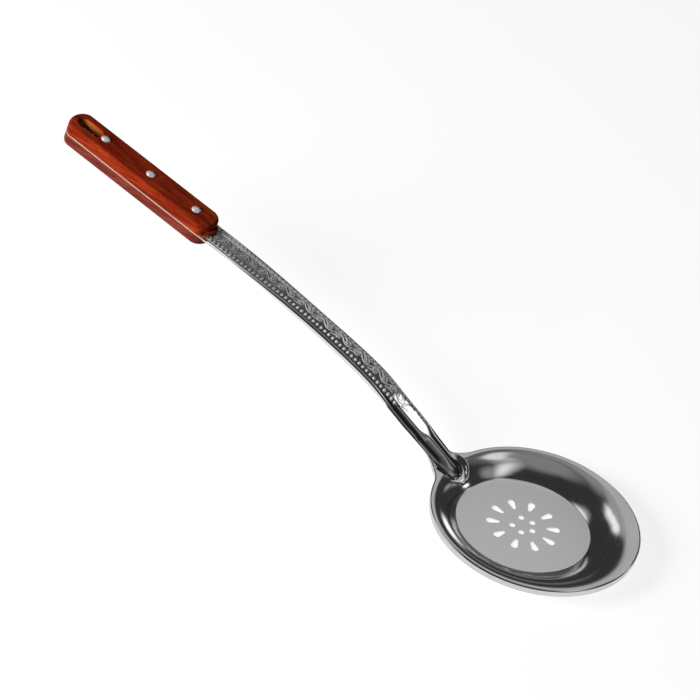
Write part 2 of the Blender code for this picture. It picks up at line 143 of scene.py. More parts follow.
# Drawing of the leaf scroll, with lengths as shares of its half width
STEM_SWING = 0.55
STEM_POINTS = 160
CURL_SWEEP = 2.7 * math.pi
CURL_POINTS = 80
CURL_EYE = 0.14
CURL_SPREAD = 0.5
CURL_SHIFT = 0.1
LEAF_COUNT = 2
LEAF_POINTS = 24
LEAF_ROOT = 0.1
LEAF_ROOT_STEP = 0.42
LEAF_REACH = 0.75
LEAF_BEND = 1.6
LEAF_START = 0.5
LEAF_START_STEP = 0.34
LEAF_SWEEP = 1.15
LEAF_SWEEP_STEP = 0.25

# Tones over the shank: polish on the relief with painted highlights, wear, a painted reflection along the
# far side, and a painted dark reflection on the finger and the near band
# Beads are made brighter than their height gives by this share: painted highlight on their polish
POLISH_AND_HIGHLIGHT_SHARE = 1.3
WORN_FROM = 120.0 * MM
WORN_LENGTH = 90.0 * MM
WORN_SHARE = 0.45
WORN_TONE = 0.22
# A band along the strap's far side is made lighter: painted reflection
FAR_REFLECTION_FROM = 0.35
FAR_REFLECTION_SPREAD = 0.3
FAR_REFLECTION_TONE = 0.62
# Painted dark reflection: the finger and a band along the strap's near side get a dark tone
DARK_FINGER_END = 30.0 * MM
DARK_FINGER_FADE = 9.0 * MM
DARK_BAND_FROM = 0.42
DARK_BAND_SPREAD = 0.12
DARK_BAND_END = 64.0 * MM
DARK_BAND_FADE = 14.0 * MM

# Grip, as in the frame
SCALE_LENGTH = 128.6 * MM
SCALE_WIDTH = 21.6 * MM
UPPER_SCALE_THICKNESS = 7.8 * MM
UPPER_SCALE_ROUNDING = 2.2 * MM
LOWER_SCALE_THICKNESS = 8.8 * MM
LOWER_SCALE_ROUNDING = 4.0 * MM
NOSE_LENGTH = 9.0 * MM
BUTT_LENGTH = 8.0 * MM
TANG_INSET = 0.2 * MM
TANG_END_CUT = 0.1 * MM
TOE_LENGTH = 2.5 * MM
TOE_HALF_WIDTH = 7.8 * MM
TOE_THICKNESS = 3.2 * MM
TOE_ROUNDING = 1.0 * MM
HANG_HOLE_FROM_BUTT = 15.5 * MM
HANG_HOLE_LENGTH = 20.0 * MM
HANG_HOLE_WIDTH = 9.0 * MM
FRONT_RIVET_FROM_NOSE = 17.2 * MM
RIVET_PITCH = 41.1 * MM
RIVET_HEAD_RADIUS = 3.3 * MM
RIVET_HEAD_HEIGHT = 1.3 * MM

# Mouths of the hanging hole, rounded here only
MOUTH_ROUNDING = 0.9 * MM
MOUTH_SWEEP = math.radians(80.0)

# Facets and tolerances
SMOOTH_ANGLE = math.radians(40.0)
BEVEL_ANGLE = math.radians(60.0)
FLAT_FACE = 0.99999
SMALLEST_LENGTH = 1e-12
WELD_DISTANCE = 0.002 * MM
CUT_OVERRUN = 5.0 * MM
RIM_STEPS = 110
FILLET_STEPS = 80
TONGUE_END_STEPS = 24
WALL_RINGS = 72
WALL_RING_BIAS = 1.4
EDGE_STEPS = 8
SLOT_END_STEPS = 16
HOLE_STEPS = 40
CUT_EDGE_SEGMENTS = 2
SHANK_ACROSS = 112
SHANK_UNDER_ACROSS = 14
SHANK_ROW = 0.25 * MM
TIP_STEPS = 24
SCROLL_COLUMNS = 81
TANG_ACROSS = 8
TANG_NOSE_STEPS = 16
TANG_BUTT_STEPS = 20
SCALE_END_STEPS = 40
TOE_STEPS = 40
ROUNDING_SEGMENTS = 12
TOE_SEGMENTS = 6
HANG_HOLE_STEPS = 40
MOUTH_STEPS = 6
RIVET_STEPS = 48
RIVET_HEAD_STEPS = 16

# Values that follow
LIP_RADIUS = RIM_RADIUS - EDGE_RADIUS
RIM_HEIGHT = BOWL_SHEET + BOWL_DEPTH
NECK_EDGE_X = RIM_FORWARD - RIM_RADIUS
TONGUE_HALF_WIDTH = STRAP_HALF_WIDTH - TONGUE_INSET
FINGER_DEPTH = STRAP_DEPTH - SHANK_SHEET * math.cos(FINGER_HALF_ANGLE)
LOWER_BEND_LENGTH = LOWER_BEND_RADIUS * (NECK_SLOPE - MIDDLE_SLOPE)
UPPER_BEND_LENGTH = UPPER_BEND_RADIUS * (MIDDLE_SLOPE - GRIP_SLOPE)
NOSE_STATION = NECK_RUN + LOWER_BEND_LENGTH + UPPER_BEND_LENGTH + GRIP_LEAD
HANG_HOLE_CENTRE = SCALE_LENGTH - HANG_HOLE_FROM_BUTT
UPPER_FACE = SEAT_GAP + UPPER_SCALE_THICKNESS
LOWER_FACE = -SHANK_SHEET - SEAT_GAP - LOWER_SCALE_THICKNESS

# Finish of the bowl: streaks round its middle, a satin floor whose lighter tone is partly painted sheen,
# and a polished wall
STREAK_TURNS = 2.5
STREAK_RINGS = 900.0
STREAK_DETAIL = 3.0
STREAK_DEPTH = 0.2 * MM
STREAK_STRENGTH = 0.025
STREAK_END = (LIP_RADIUS - 2.0 * MM, LIP_RADIUS - 1.0 * MM)
FLOOR_EDGE = (FLOOR_RADIUS, FLOOR_RADIUS + 1.0 * MM)
# The floor's tone is lighter than the wall's: partly its satin finish, partly painted sheen
SATIN_AND_SHEEN_FLOOR_TONES = ((0.25, 0.72), (0.75, 0.8))
WALL_TONES = ((0.25, 0.56), (0.5, 0.61), (0.75, 0.66))
FLOOR_TO_WALL_ROUGHNESS = (0.2, 0.07)
STREAK_SPAN = (0.3, 0.7)
STREAK_ROUGHNESS = (0.0, 0.06)

# Finish of the shank: a stippled ground, bright relief whose near-white, nearly non-metallic top is a
# painted highlight, and plain polished steel with a painted dark reflection on the finger and the near band
STIPPLE_SCALE = 1300.0
STIPPLE_DETAIL = 2.0
STIPPLE_CONTRAST = 1.2
STIPPLE_MIDDLE = 0.6
STIPPLE_DEPTH = 0.3 * MM
STIPPLE_STRENGTH = 0.35
PLAIN_STRENGTH = 0.02
# Relief tones run from the dark stippled ground to a near-white top, which with the low metallic value of
# RELIEF_METALLIC is a painted highlight on the polished relief
RELIEF_TONES = ((0.0, 0.08), (0.5, (0.5, 0.5, 0.49)), (1.0, (0.95, 0.95, 0.94)))
# Plain steel tone, down to a dark grey where the painted dark reflection is one
PLAIN_TONES = ((0.0, (0.72, 0.72, 0.71)), (1.0, 0.2))
RELIEF_METALLIC = (1.0, 0.08)
RELIEF_ROUGHNESS = (0.36, 0.26)
PLAIN_ROUGHNESS = 0.11

# Finishes of the tang's edge, whose pink tint is a painted reflection, and the rivets
TANG_METALLIC = 0.7
TANG_GRAIN = 220.0
# Pink tint that steel does not have: painted reflection
TANG_PAINTED_REFLECTION_TONES = ((0.3, (0.6, 0.32, 0.24)), (0.7, (0.74, 0.5, 0.42)))
TANG_ROUGHNESS = (0.3, 0.5)
RIVET_METALLIC = 0.5
RIVET_GRAIN = 1500.0
RIVET_TONES = ((0.3, 0.88), (0.7, 0.97))
RIVET_ROUGHNESS = (0.2, 0.4)

# Finish of the wood: stained tones by the grain, dark pores, a lower scale whose muted, pinker tones are
# partly painted sheen, and an unstained hanging hole that fades towards the rivet end
UPPER_WOOD = ((0.32, (0.15, 0.011, 0.003)), (0.5, (0.3, 0.026, 0.006)), (0.7, (0.42, 0.055, 0.012)))
# The lower scale's muted, pinker tones: partly a difference between the two pieces of wood, partly painted
# sheen
LOWER_WOOD_AND_SHEEN = ((0.32, (0.15, 0.022, 0.014)), (0.5, (0.24, 0.042, 0.027)), (0.7, (0.32, 0.07, 0.046)))
BARE_WOOD = ((0.3, (0.26, 0.06, 0.012)), (0.7, (0.56, 0.2, 0.045)))
# The unstained colour is strongest at the butt end and fades out towards the rivet end
BARE_WOOD_SPAN = (-380.0 * MM, -392.0 * MM)
BARE_WOOD_SHARES = (0.25, 1.0)
BARE_WOOD_MARGIN = 0.1 * MM
GRAIN_SCALE = (28.0, 210.0, 210.0)
GRAIN_DETAIL = 5.0
GRAIN_ROUGHNESS = 0.6
GRAIN_DISTORTION = 0.4
PORE_SCALE = (90.0, 1600.0, 1600.0)
PORE_DETAIL = 1.0
PORE_TONES = ((0.3, (0.55, 0.5, 0.5)), (0.45, 1.0))
PORE_STRENGTH = 0.12
PORE_DEPTH = 0.2 * MM
WOOD_ROUGHNESS = (0.5, 0.34)
WOOD_SPECULAR = 0.035

# Table, world and key lamp
TABLE_HALF_SIZE = 6.0
TABLE_COLOUR = (0.3, 0.3, 0.3, 1.0)
TABLE_GLOW = 0.85
WORLD_STRENGTH = (0.5, 1.0)
KEY_SIZE = (0.9, 0.6)
KEY_ENERGY = 36.0
KEY_PLACE = Vector((-1.0, -1.3, 0.75))
KEY_AIM = Vector((-0.2, 0.0, 0.05))

# Dome of soft lamps that only reflections show
STUDIO_RADIUS = 0.65
STUDIO_LOWEST = math.radians(-12.0)
STUDIO_HIGHEST = 0.5 * math.pi - 0.001
STUDIO_RINGS = 110
STUDIO_STEPS = 240
STUDIO_DARK = 0.045

# Lamps: azimuth, elevation, half sizes and blur in degrees, then strength; the last is the key's image
STUDIO_LAMPS = (
    (60.0, 88.0, 36.0, 36.0, 40.0, 0.3),
    (113.0, 44.0, 13.0, 12.0, 6.0, 0.6),
    (130.0, 48.0, 14.0, 10.0, 5.0, 0.45),
    (120.0, 62.0, 14.0, 7.0, 10.0, 0.34),
    (141.0, 41.0, 4.0, 4.0, 5.0, 1.4),
    (145.5, 45.0, 4.0, 4.0, 5.0, 1.4),
    (150.0, 49.0, 4.0, 5.0, 6.0, 1.4),
    (0.0, 52.0, 7.0, 15.0, 18.0, 1.3),
    (26.0, 66.0, 8.0, 10.0, 14.0, 0.6),
    (15.0, 38.0, 12.0, 10.0, 14.0, 0.35),
    (55.0, 63.0, 13.0, 6.5, 6.0, 1.05),
    (75.0, 41.0, 4.0, 2.5, 3.0, 0.7),
    (101.0, 9.0, 4.0, 8.0, 4.0, 1.7),
    (110.0, 17.0, 9.0, 3.0, 5.0, 0.22),
    (50.0, 15.0, 5.0, 4.0, 4.0, 2.2),
    (64.0, 19.0, 9.0, 2.5, 4.0, 0.4),
    (77.0, 21.0, 5.0, 3.0, 4.0, 0.45),
    (83.0, 44.5, 6.0, 4.0, 4.0, 2.0),
    (198.0, 32.0, 16.0, 15.0, 14.0, 1.2),
    (221.6, 24.4, 15.0, 10.0, 5.0, 1.1),
)

# Camera, fitted to the photograph
CAMERA_AZIMUTH = math.radians(21.65)
CAMERA_ELEVATION = math.radians(38.93)
CAMERA_ROLL = math.radians(17.84)
CAMERA_DISTANCE = 2.0
PICTURE_SIZE = 700
PIXEL = 0.65 * MM
ANCHOR = Vector((6.0 * MM, 0.0, 12.3 * MM))
ANCHOR_PIXEL = (534.46, 517.11)
SENSOR_WIDTH = 36.0
CAMERA_REACH = 20.0


def ease(value):
    u = min(max(value, 0.0), 1.0)
    return u * u * (3.0 - 2.0 * u)


def ease_all(values):
    """The same easing over an array."""
    u = np.clip(values, 0.0, 1.0)
    return u * u * (3.0 - 2.0 * u)


def mix(a, b, share):
    return a + (b - a) * share


def quarter_angles(steps):
    return [0.5 * math.pi * i / steps for i in range(steps + 1)]


# Mesh helpers

def link(name, data):
    piece = bpy.data.objects.new(name, data)
    bpy.context.scene.collection.objects.link(piece)
    return piece


def mesh_from(bm, name):
    mesh = bpy.data.meshes.new(name)
    bm.to_mesh(mesh)
    bm.free()
    return mesh


def set_shares(mesh, name, values, domain="POINT"):
    mesh.attributes.new(name, "FLOAT", domain).data.foreach_set("value", values)


def smooth(mesh):
    mesh.shade_smooth()
    mesh.set_sharp_from_angle(angle=SMOOTH_ANGLE)


def weld(mesh):
    """Merge points that coincide, so that no face is left without an area."""
    bm = bmesh.new()
    bm.from_mesh(mesh)
    bmesh.ops.remove_doubles(bm, verts=bm.verts, dist=WELD_DISTANCE)
    bmesh.ops.dissolve_degenerate(bm, edges=bm.edges, dist=WELD_DISTANCE)
    bmesh.ops.holes_fill(bm, edges=[edge for edge in bm.edges if edge.is_boundary])
    bm.to_mesh(mesh)
    bm.free()


def bake_modifiers(piece):
    """Replace a piece's mesh by the result of its modifiers."""
    graph = bpy.context.evaluated_depsgraph_get()
    result = bpy.data.meshes.new_from_object(piece.evaluated_get(graph))
    piece.modifiers.clear()
    piece.data = result
    weld(result)
    smooth(result)


def combine(piece, tool, operation):
    step = piece.modifiers.new("combine", "BOOLEAN")
    step.operation = operation
    step.solver = "EXACT"
    step.object = tool


def round_edges(piece, width, segments):
    step = piece.modifiers.new("edges", "BEVEL")
    step.width = width
    step.segments = segments
    step.limit_method = "ANGLE"
    step.angle_limit = BEVEL_ANGLE


def drop_tool(tool):
    mesh = tool.data
    bpy.data.objects.remove(tool, do_unlink=True)
    bpy.data.meshes.remove(mesh)


def settle(piece, matrix):
    """Move a piece's mesh into the shared frame, so that its object stays at the origin."""
    piece.data.transform(matrix)
    piece.matrix_world = Matrix.Identity(4)
    piece.data.update()


def join_rings(bm, rings, inward=False):
    """Faces between equal rings that follow each other."""
    count = len(rings[0])
    for low, high in zip(rings, rings[1:]):
        for i in range(count):
            j = (i + 1) % count
            if inward:
                bm.faces.new((low[i], high[i], high[j], low[j]))
            else:
                bm.faces.new((low[i], low[j], high[j], high[i]))


def add_stack(bm, levels):
    """Body over a stack of equal outlines, each with its height."""
    rings = [[bm.verts.new((x, y, z)) for x, y in outline] for outline, z in levels]
    bm.faces.new(list(reversed(rings[0])))
    bm.faces.new(rings[-1])
    join_rings(bm, rings)


def stack(name, levels):
    bm = bmesh.new()
    add_stack(bm, levels)
    return link(name, mesh_from(bm, name))


def circle_points(centre_x, centre_y, radius, steps):
    angles = [2.0 * math.pi * i / steps for i in range(steps)]
    return [(centre_x + radius * math.cos(a), centre_y + radius * math.sin(a)) for a in angles]


def stadium_points(centre_x, length, width, steps):
    radius = width / 2.0
    reach = length / 2.0 - radius
    points = []
    for side, start in ((1.0, -0.5 * math.pi), (-1.0, 0.5 * math.pi)):
        for i in range(steps + 1):
            a = start + math.pi * i / steps
            points.append((centre_x + side * reach + radius * math.cos(a), radius * math.sin(a)))
    return points


# Paths and sections

def shank_path(station):
    """x, z and slope of the crown line at a length measured from the tip."""
    x = NECK_EDGE_X + TIP_INSIDE
    z = RIM_HEIGHT + NECK_HEIGHT - TIP_INSIDE * math.tan(NECK_SLOPE)
    run = min(station, NECK_RUN)
    x -= run * math.cos(NECK_SLOPE)
    z += run * math.sin(NECK_SLOPE)
    left = station - run
    slope = NECK_SLOPE
    bends = ((LOWER_BEND_RADIUS, LOWER_BEND_LENGTH), (UPPER_BEND_RADIUS, UPPER_BEND_LENGTH))
    for radius, length in bends:
        arc = min(left, length)
        after = slope - arc / radius
        x -= radius * (math.sin(slope) - math.sin(after))
        z += radius * (math.cos(after) - math.cos(slope))
        slope = after
        left -= arc
    x -= left * math.cos(slope)
    z += left * math.sin(slope)
    return x, z, slope


def rim_reach(angle):
    across = RIM_FORWARD * math.sin(angle)
    return RIM_FORWARD * math.cos(angle) + math.sqrt(LIP_RADIUS ** 2 - across ** 2)


def wall_height(x, y):
    run = rim_reach(math.atan2(y, x)) - FLOOR_RADIUS
    out = max(math.hypot(x, y) - FLOOR_RADIUS, 0.0)
    share = min(out / run, 1.0)
    rise = (BOWL_DEPTH - LIP_RISE) * (1.0 - (1.0 - share) ** WALL_CURVE) + LIP_RISE * share
    return rise * (1.0 - math.exp(-out / FLOOR_FOLD))


def neck_height(x):
    tip_x, tip_z, slope = shank_path(0.0)
    seat_z = tip_z - (STRAP_DEPTH + SEAT_GAP) / math.cos(slope) - BOWL_SHEET
    foot_x = tip_x + seat_z / math.tan(slope)
    return max(foot_x - x, 0.0) * math.tan(slope)


def bowl_height(x, y):
    plain = wall_height(x, y)
    if x > 0.0:
        return BOWL_SHEET + plain
    pocket_centre = NECK_EDGE_X + TIP_INSIDE + POCKET_LEAD - POCKET_HALF_WIDTH
    from_axis = math.hypot(max(x - pocket_centre, 0.0), y)
    away = ease((from_axis - POCKET_HALF_WIDTH) / POCKET_SPREAD)
    return BOWL_SHEET + mix(neck_height(x), plain, away)


def lip_outline():
    """Inner line of the turned edge, round from the front: x, y, outward normal and drop of each point."""
    half_width = TONGUE_HALF_WIDTH - EDGE_RADIUS
    fillet = NECK_FILLET + EDGE_RADIUS
    fillet_y = half_width + fillet
    fillet_x = RIM_FORWARD - math.sqrt((LIP_RADIUS + fillet) ** 2 - fillet_y ** 2)
    turn = math.atan2(fillet_y, fillet_x - RIM_FORWARD)
    end_length = TONGUE_END_LENGTH - EDGE_RADIUS
    end_x = fillet_x - TONGUE_REACH
    half = []
    for i in range(RIM_STEPS + 1):
        a = turn * i / RIM_STEPS
        normal = (math.cos(a), math.sin(a))
        half.append((RIM_FORWARD + LIP_RADIUS * normal[0], LIP_RADIUS * normal[1], *normal, EDGE_TURN))
    for i in range(1, FILLET_STEPS + 1):
        a = mix(turn - math.pi, -0.5 * math.pi, i / FILLET_STEPS)
        normal = (-math.cos(a), -math.sin(a))
        drop = mix(EDGE_TURN, TONGUE_TURN, ease(i / FILLET_STEPS))
        half.append((fillet_x - fillet * normal[0], fillet_y - fillet * normal[1], *normal, drop))
    for i in range(TONGUE_END_STEPS + 1):
        a = 0.5 * math.pi * (1.0 + i / TONGUE_END_STEPS)
        normal = (math.cos(a), math.sin(a))
        half.append((end_x + end_length * normal[0], half_width * normal[1], *normal, TONGUE_TURN))
    other = [(x, -y, nx, -ny, drop) for x, y, nx, ny, drop in reversed(half[1:-1])]
    return half + other


def teardrop_points(angle):
    wide = SLOT_OUTER_WIDTH / 2.0
    narrow = SLOT_INNER_WIDTH / 2.0
    wide_at = SLOT_RING + SLOT_LENGTH / 2.0 - wide
    narrow_at = SLOT_RING - SLOT_LENGTH / 2.0 + narrow
    tangent = 0.5 * math.pi + math.asin((wide - narrow) / (wide_at - narrow_at))
    points = []
    for i in range(SLOT_END_STEPS + 1):
        a = mix(-tangent, tangent, i / SLOT_END_STEPS)
        points.append((wide_at + wide * math.cos(a), wide * math.sin(a)))
    for i in range(SLOT_END_STEPS + 1):
        a = mix(tangent, 2.0 * math.pi - tangent, i / SLOT_END_STEPS)
        points.append((narrow_at + narrow * math.cos(a), narrow * math.sin(a)))
    c, s = math.cos(angle), math.sin(angle)
    return [(x * c - y * s, x * s + y * c) for x, y in points]


def tang_half_width(along):
    half = SCALE_WIDTH / 2.0
    past = along - (SCALE_LENGTH - BUTT_LENGTH)
    if past > 0.0:
        half *= math.sqrt(max(1.0 - (past / BUTT_LENGTH) ** 2, 0.0))
    return half - TANG_INSET


def flange_share(station):
    return ease((NOSE_STATION - station - FLANGE_END) / (FLANGE_FADE - FLANGE_END))


def strap_half_width(station):
    widest = FINGER_LENGTH + FINGER_BLEND
    if station < widest:
        return mix(FINGER_HALF_WIDTH, STRAP_HALF_WIDTH, station / widest)
    along = min((station - widest) / (NOSE_STATION - widest), 1.0)
    return mix(STRAP_HALF_WIDTH, NOSE_HALF_WIDTH, along) + FLANGE_SPREAD * (1.0 - flange_share(station))


def finger_section(v):
    a = FINGER_HALF_ANGLE * v
    side = math.sin(a) / math.sin(FINGER_HALF_ANGLE)
    return side, (1.0 - math.cos(a)) / (1.0 - math.cos(FINGER_HALF_ANGLE))


def strap_section(v, half_width, curve, spread):
    flat = half_width - PRESSED_CORNER
    corner = 0.5 * math.pi * PRESSED_CORNER
    flange = STRAP_DEPTH - PRESSED_CORNER
    walk = abs(v) * (flat + corner + flange)
    if walk <= flat:
        side, drop = walk, 0.0
    elif walk <= flat + corner:
        a = (walk - flat) / PRESSED_CORNER
        side = flat + PRESSED_CORNER * math.sin(a)
        drop = PRESSED_CORNER * (1.0 - math.cos(a))
    else:
        side, drop = half_width, walk - flat - corner + PRESSED_CORNER
    arch = min(walk / flat, 1.0) ** curve
    flare = 1.0 - spread / half_width * (1.0 - drop / STRAP_DEPTH)
    return math.copysign(side, v) * flare / half_width, drop / STRAP_DEPTH, arch


def shank_section(station, v):
    """Point of the plain upper face at a station and a share v across the width."""
    channel = ease((station - CHANNEL_FROM) / CHANNEL_BLEND)
    panel = ease((station - PANEL_FROM) / PANEL_BLEND)
    round_off = min(station / TIP_ROUNDING, 1.0)
    tip = math.sqrt(1.0 - (1.0 - round_off) ** 2)
    strap_half = strap_half_width(station)
    half = strap_half * tip
    along = station - NOSE_STATION
    if along > 0.0:
        half = mix(strap_half, tang_half_width(along), ease(along / NOSE_LENGTH))
    finger_side, finger_drop = finger_section(v)
    flange = flange_share(station)
    curve = mix(FINGER_CURVE, STRAP_CURVE, panel)
    strap_side, strap_drop, arch = strap_section(v, strap_half, curve, FLANGE_FLARE * flange)
    crown = mix(NECK_CROWN, STRAP_CROWN, ease((station - CROWN_FROM) / CROWN_FADE))
    crown = mix(FINGER_CROWN, crown, panel) / STRAP_DEPTH
    strap_drop = mix(strap_drop, 1.0, crown) - crown * (1.0 - arch)
    side = mix(finger_side, strap_side, channel)
    drop = mix(FINGER_DEPTH * tip * finger_drop, STRAP_DEPTH * flange * strap_drop, channel)
    drop += (STRAP_DEPTH - SHANK_SHEET) * (1.0 - tip)
    x, z, slope = shank_path(station)
    return x - drop * math.sin(slope), half * side, z - drop * math.cos(slope)


# Bowl

def make_bowl():
    outline = lip_outline()
    bm = bmesh.new()
    rings = []
    for k in range(WALL_RINGS + 1):
        share = (k / WALL_RINGS) ** WALL_RING_BIAS
        ring = []
        for x, y, _, _, _ in outline:
            scale = mix(FLOOR_RADIUS / math.hypot(x, y), 1.0, share)
            ring.append(bm.verts.new((x * scale, y * scale, bowl_height(x * scale, y * scale))))
        rings.append(ring)
    for k in range(1, EDGE_STEPS + 2):
        a = 0.5 * math.pi * min(k / EDGE_STEPS, 1.0)
        out = EDGE_RADIUS * math.sin(a)
        ring = []
        for x, y, nx, ny, turn in outline:
            drop = turn if k > EDGE_STEPS else EDGE_RADIUS * (1.0 - math.cos(a))
            ring.append(bm.verts.new((x + nx * out, y + ny * out, bowl_height(x, y) - drop)))
        rings.append(ring)
    bm.faces.new(rings[0])
    join_rings(bm, rings, inward=True)
    bowl = link("bowl_pressing", mesh_from(bm, "bowl_pressing"))
    sheet = bowl.modifiers.new("sheet", "SOLIDIFY")
    sheet.thickness = BOWL_SHEET
    sheet.offset = -1.0
    sheet.use_even_offset = True
    tool = floor_tool()
    combine(bowl, tool, "DIFFERENCE")
    round_edges(bowl, CUT_EDGE, CUT_EDGE_SEGMENTS)
    bake_modifiers(bowl)
    for face in bowl.data.polygons:
        face.use_smooth = abs(face.normal.z) < FLAT_FACE
    drop_tool(tool)
    return bowl


def floor_tool():
    bm = bmesh.new()
    outlines = [teardrop_points(math.pi + 2.0 * math.pi * i / SLOT_COUNT) for i in range(SLOT_COUNT)]
    spacing = (2.0 * math.pi - HOLE_WIDE_GAP) / (HOLE_COUNT - 1)
    for i in range(HOLE_COUNT):
        angle = math.pi + HOLE_WIDE_GAP / 2.0 + spacing * i
        centre = (HOLE_RING * math.cos(angle), HOLE_RING * math.sin(angle))
        outlines.append(circle_points(*centre, HOLE_DIAMETER / 2.0, HOLE_STEPS))
    for outline in outlines:
        add_stack(bm, [(outline, -CUT_OVERRUN), (outline, BOWL_SHEET + CUT_OVERRUN)])
    return link("floor_tool", mesh_from(bm, "floor_tool"))


# Shank

def scroll_lines():
    """Ridge lines of the leaf scroll over one repeat and half of its neighbours, as points in metres."""
    wide = SCROLL_HALF_WIDTH
    along = np.linspace(-0.5, 1.5, STEM_POINTS) * SCROLL_PITCH
    stem = STEM_SWING * wide * np.sin(2.0 * math.pi * along / SCROLL_PITCH)
    lines = [np.stack((along, stem), axis=1)]
    turn = np.linspace(0.0, CURL_SWEEP, CURL_POINTS)
    radius = wide * (CURL_EYE + CURL_SPREAD * (1.0 - turn / turn[-1]))
    u = np.linspace(0.0, 1.0, LEAF_POINTS)
    for k in range(-1, 4):
        side = 1.0 if k % 2 == 0 else -1.0
        middle = (0.25 + 0.5 * k) * SCROLL_PITCH
        curl_along = middle + CURL_SHIFT * wide - radius * np.sin(turn)
        curl_across = side * (-CURL_SHIFT * wide + radius * np.cos(turn))
        lines.append(np.stack((curl_along, curl_across), axis=1))
        for step in range(LEAF_COUNT):
            root = middle + (LEAF_ROOT + LEAF_ROOT_STEP * step) * wide
            leaf_along = root + LEAF_REACH * wide * u ** LEAF_BEND
            sweep = (LEAF_SWEEP - LEAF_SWEEP_STEP * step) * np.sin(0.5 * math.pi * u)
            leaf_across = side * wide * (LEAF_START - LEAF_START_STEP * step - sweep)
            lines.append(np.stack((leaf_along, leaf_across), axis=1))
    return lines


def scroll_tile():
    """Height share of the scroll's ridges over one repeat, in rows along and columns across."""
    rows = int(round(SCROLL_PITCH / SHANK_ROW))
    along = (np.arange(rows) * SHANK_ROW)[:, None] + np.zeros((1, SCROLL_COLUMNS))
    across = np.linspace(-1.0, 1.0, SCROLL_COLUMNS)[None, :] * SCROLL_HALF_WIDTH + np.zeros((rows, 1))
    nearest = np.full(along.shape, np.inf)
    for line in scroll_lines():
        for x, y in line:
            nearest = np.minimum(nearest, (along - x) ** 2 + (across - y) ** 2)
    return np.exp(-nearest / SCROLL_LINE ** 2)


def relief(stations, across, half_widths):
    """Embossing over a grid of stations and widths: height in metres, brightness (polish with painted
    highlights and a painted reflection along the far side), zone and painted dark reflection.
    """
    length = stations[:, None] + 0.0 * across
    edge = half_widths[:, None]
    flat = edge - PRESSED_CORNER
    far = across > 0.0
    end = ease_all((NOSE_STATION - length) / ORNAMENT_END_FADE)
    hollow = ORNAMENT_HOLLOW * (1.0 - (across / flat) ** 2)
    worn = ease_all((length - WORN_FROM) / WORN_LENGTH)
    crisp = 1.0 - WORN_SHARE * worn

    bead_start = np.where(across < 0.0, ORNAMENT_START, FAR_BEAD_START)
    beaded = ease_all((length - bead_start) / ORNAMENT_FADE) * end
    beat = np.mod(length, BEAD_PITCH) - BEAD_PITCH / 2.0
    off = np.abs(across) - (edge - np.where(far, FAR_BEAD_FROM_EDGE, BEAD_FROM_EDGE))
    inside = 1.0 - (beat / BEAD_LENGTH) ** 2 - (off / BEAD_WIDTH) ** 2
    ball = np.sqrt(np.clip(inside, 0.0, None)) * beaded
    ridged = ease_all((length - RIDGE_START) / RIDGE_FADE) * end
    ridge = np.exp(-((np.abs(off) - RIDGE_FROM_BEADS) / RIDGE_LINE) ** 2) * ridged

    scroll_near = BEAD_FROM_EDGE + SCROLL_FROM_BEADS * BEAD_WIDTH - edge
    scroll_far = edge - SCROLL_FROM_FAR_EDGE
    width = 0.5 * (scroll_far - scroll_near)
    beside = across - 0.5 * (scroll_far + scroll_near)
    tile = scroll_tile()
    row = np.mod(np.round(length / SHANK_ROW).astype(int), len(tile))
    place = (beside / width + 1.0) * 0.5 * (SCROLL_COLUMNS - 1)
    column = np.clip(np.round(place).astype(int), 0, SCROLL_COLUMNS - 1)
    scrolled = ease_all((length - ORNAMENT_START - hollow) / ORNAMENT_FADE) * end
    faint = FAINT_SCROLL_SHARE * ease_all((length - FAINT_SCROLL_START - hollow) / FAINT_SCROLL_FADE)
    leaf = tile[row, column] * (np.abs(beside) < width) * np.maximum(scrolled, faint * end)

    bead_height = ball * BEAD_HEIGHT * np.where(far, FAR_BEAD_SHARE, 1.0)
    height = np.maximum(np.maximum(bead_height, leaf * SCROLL_HEIGHT * crisp), ridge * RIDGE_HEIGHT)
    # Beads brightened: painted highlight on their polish
    bead_share = np.minimum(POLISH_AND_HIGHLIGHT_SHARE * ball, 1.0) * np.where(far, FAR_BEAD_SHARE, crisp)
    share = np.maximum(np.maximum(bead_share, leaf * crisp), ridge)
    # Lighter band along the far side: painted reflection
    painted_far_reflection = ease_all((across / flat - FAR_REFLECTION_FROM) / FAR_REFLECTION_SPREAD)
    share = np.maximum(share, np.maximum(WORN_TONE * worn, FAR_REFLECTION_TONE * painted_far_reflection))
    zone = np.maximum(scrolled * (np.abs(across) < flat), beaded * (np.abs(off) < BEAD_ZONE * BEAD_WIDTH))
    # Painted dark reflection on the finger and on a band along the near side
    finger = 1.0 - ease_all((length - DARK_FINGER_END) / DARK_FINGER_FADE)
    band = ease_all((-across / flat - DARK_BAND_FROM) / DARK_BAND_SPREAD)
    band = band * (1.0 - ease_all((length - DARK_BAND_END) / DARK_BAND_FADE))
    painted_dark_reflection = np.maximum(finger, band) * (np.abs(across) < flat + PRESSED_CORNER)
    return height, share, zone, painted_dark_reflection


def shank_stations():
    tip = [TIP_ROUNDING * (1.0 - math.cos(a)) for a in quarter_angles(TIP_STEPS)[1:]]
    rows = int((NOSE_STATION - TIP_ROUNDING) / SHANK_ROW)
    body = [TIP_ROUNDING + SHANK_ROW * (i + 1) for i in range(rows)]
    return np.array(tip + body + [NOSE_STATION])


def tang_stations():
    nose = [NOSE_STATION + NOSE_LENGTH * (1.0 - math.cos(a)) for a in quarter_angles(TANG_NOSE_STEPS)]
    butt_start = NOSE_STATION + SCALE_LENGTH - BUTT_LENGTH
    reach = BUTT_LENGTH - TANG_END_CUT
    return np.array(nose + [butt_start + reach * math.sin(a) for a in quarter_angles(TANG_BUTT_STEPS)])


def grid_points(stations, shares):
    return np.array([[shank_section(station, v) for v in shares] for station in stations])


